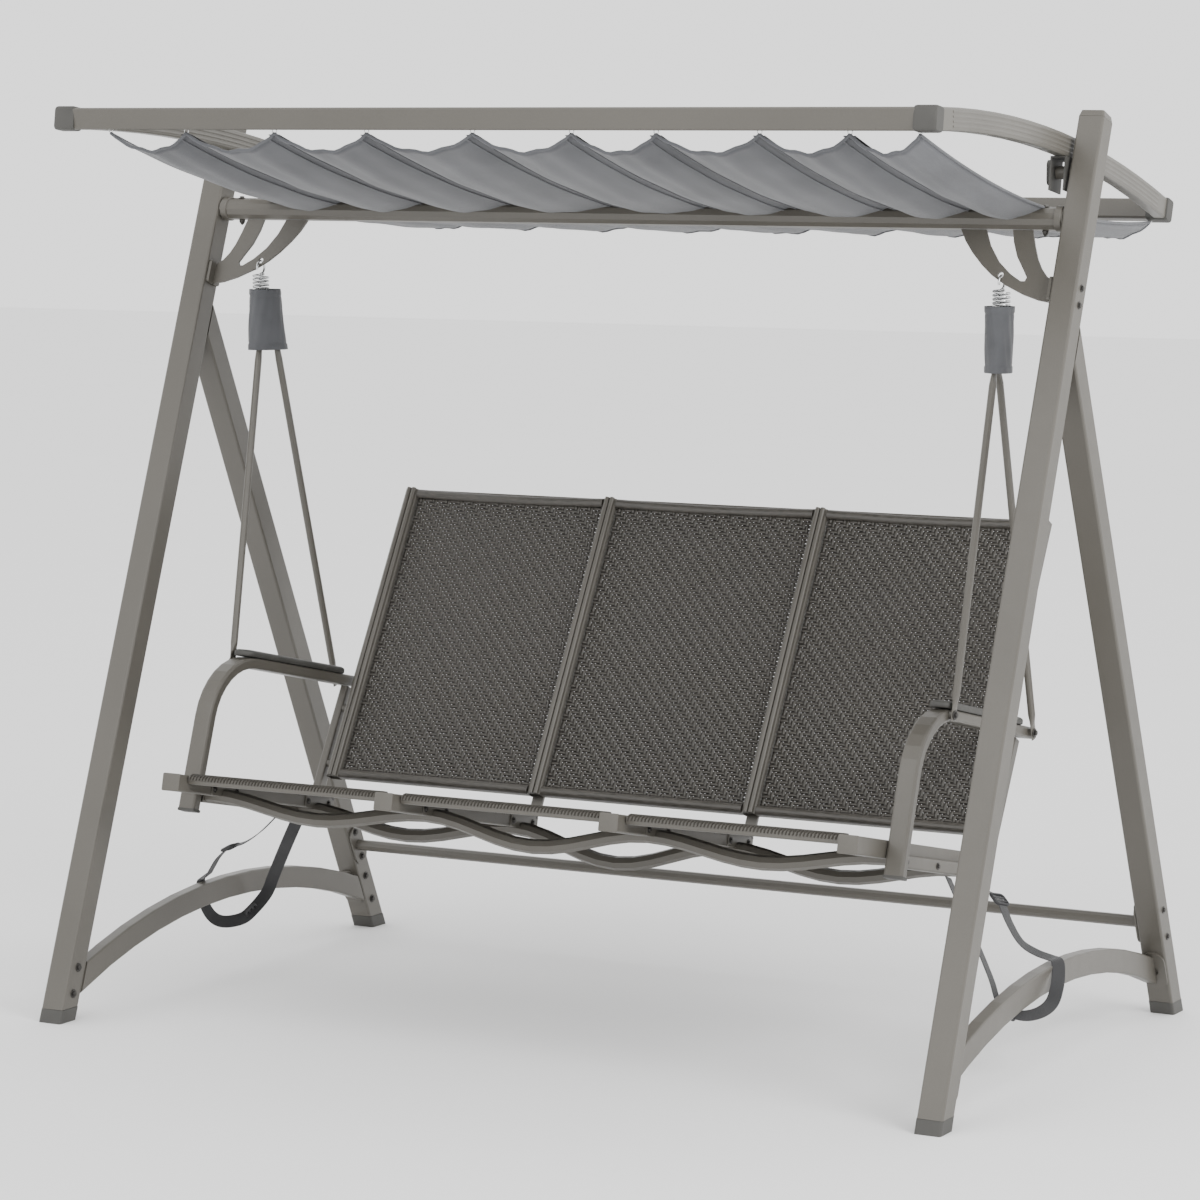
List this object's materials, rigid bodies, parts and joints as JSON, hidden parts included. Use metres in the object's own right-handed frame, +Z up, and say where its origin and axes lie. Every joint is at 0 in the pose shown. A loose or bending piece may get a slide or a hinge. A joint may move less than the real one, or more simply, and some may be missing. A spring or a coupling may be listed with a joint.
{
  "type": "glider swing",
  "caption": "Free-standing canopy swing: an A-frame stand with arched side stretchers, a woven hanging bench on spring hangers, and a tilting fabric canopy.",
  "frame": {"origin": "on the floor, midway between the four feet", "axes": "+X to the right of someone who faces the seat from its front, +Y to the back, +Z up"},
  "size_m": [1.932, 1.137, 1.7431],
  "materials": {
    "painted_frame": "satin warm grey powder coat",
    "dark_plastic": "moulded dark grey plastic",
    "zinc_steel": "zinc plated",
    "woven_strand": "flat plastic strands in a twill weave",
    "canopy_fabric": "grey polyester cloth",
    "strap_webbing": "black webbing"
  },
  "bodies": {
    "frame": {"left_front_leg": "painted_frame", "left_rear_leg": "painted_frame", "left_front_foot": "dark_plastic", "left_rear_foot": "dark_plastic", "left_leg_cap": "painted_frame", "left_stretcher": "painted_frame", "left_hook_bracket": "painted_frame", "left_pivot_boss": "painted_frame", "right_front_leg": "painted_frame", "right_rear_leg": "painted_frame", "right_front_foot": "dark_plastic", "right_rear_foot": "dark_plastic", "right_leg_cap": "painted_frame", "right_stretcher": "painted_frame", "right_hook_bracket": "painted_frame", "right_pivot_boss": "painted_frame", "top_beam": "painted_frame", "lower_cross_tube": "painted_frame", "left_strap": "strap_webbing", "right_strap": "strap_webbing"},
    "canopy": {"canopy_front_rail": "painted_frame", "canopy_rear_rail": "painted_frame", "left_canopy_rail": "painted_frame", "left_canopy_saddle": "dark_plastic", "right_canopy_rail": "painted_frame", "right_canopy_saddle": "dark_plastic", "canopy_fabric": "canopy_fabric"},
    "left_knob": {"left_tilt_knob": "dark_plastic"},
    "right_knob": {"right_tilt_knob": "dark_plastic"},
    "hangers": {"left_spring": "zinc_steel", "right_spring": "zinc_steel"},
    "seat": {"left_yoke": "zinc_steel", "left_front_rod": "painted_frame", "left_rear_rod": "painted_frame", "left_spring_sleeve": "canopy_fabric", "left_arm": "painted_frame", "left_arm_base": "painted_frame", "left_arm_pad": "dark_plastic", "right_yoke": "zinc_steel", "right_front_rod": "painted_frame", "right_rear_rod": "painted_frame", "right_spring_sleeve": "canopy_fabric", "right_arm": "painted_frame", "right_arm_base": "painted_frame", "right_arm_pad": "dark_plastic", "seat_rail_1": "painted_frame", "seat_rail_2": "painted_frame", "seat_rail_3": "painted_frame", "seat_rail_4": "painted_frame", "seat_panel_1": "woven_strand", "seat_panel_2": "woven_strand", "seat_panel_3": "woven_strand", "back_frame": "painted_frame", "back_panel_1": "woven_strand", "back_panel_2": "woven_strand", "back_panel_3": "woven_strand", "front_wave_tube": "painted_frame", "rear_wave_tube": "painted_frame"}
  },
  "joints": [
    {"name": "canopy_tilt", "type": "hinge", "parent": "frame", "child": "canopy", "pos_m": [0, 0.04543, 1.63], "axis": [1, 0, 0], "range_deg": [-18, 18]},
    {"name": "left_knob_turn", "type": "hinge", "parent": "frame", "child": "left_knob", "pos_m": [-0.87, 0.04543, 1.63], "axis": [1, 0, 0], "range_deg": [0, 180]},
    {"name": "right_knob_turn", "type": "hinge", "parent": "frame", "child": "right_knob", "pos_m": [0.87, 0.04543, 1.63], "axis": [-1, 0, 0], "range_deg": [0, 180]},
    {"name": "seat_swing", "type": "hinge", "parent": "frame", "child": "hangers", "pos_m": [0, -0.02121, 1.44542], "axis": [1, 0, 0], "range_deg": [-15, 15], "deforming": ["left_strap", "right_strap"]},
    {"name": "seat_bounce", "type": "slide", "parent": "hangers", "child": "seat", "axis": [0, 0, -1], "range_m": [0, 0.02], "stiffness_N_per_m": 120000, "springref_m": -0.006, "deforming": ["left_spring", "right_spring", "left_strap", "right_strap"]}
  ]
}
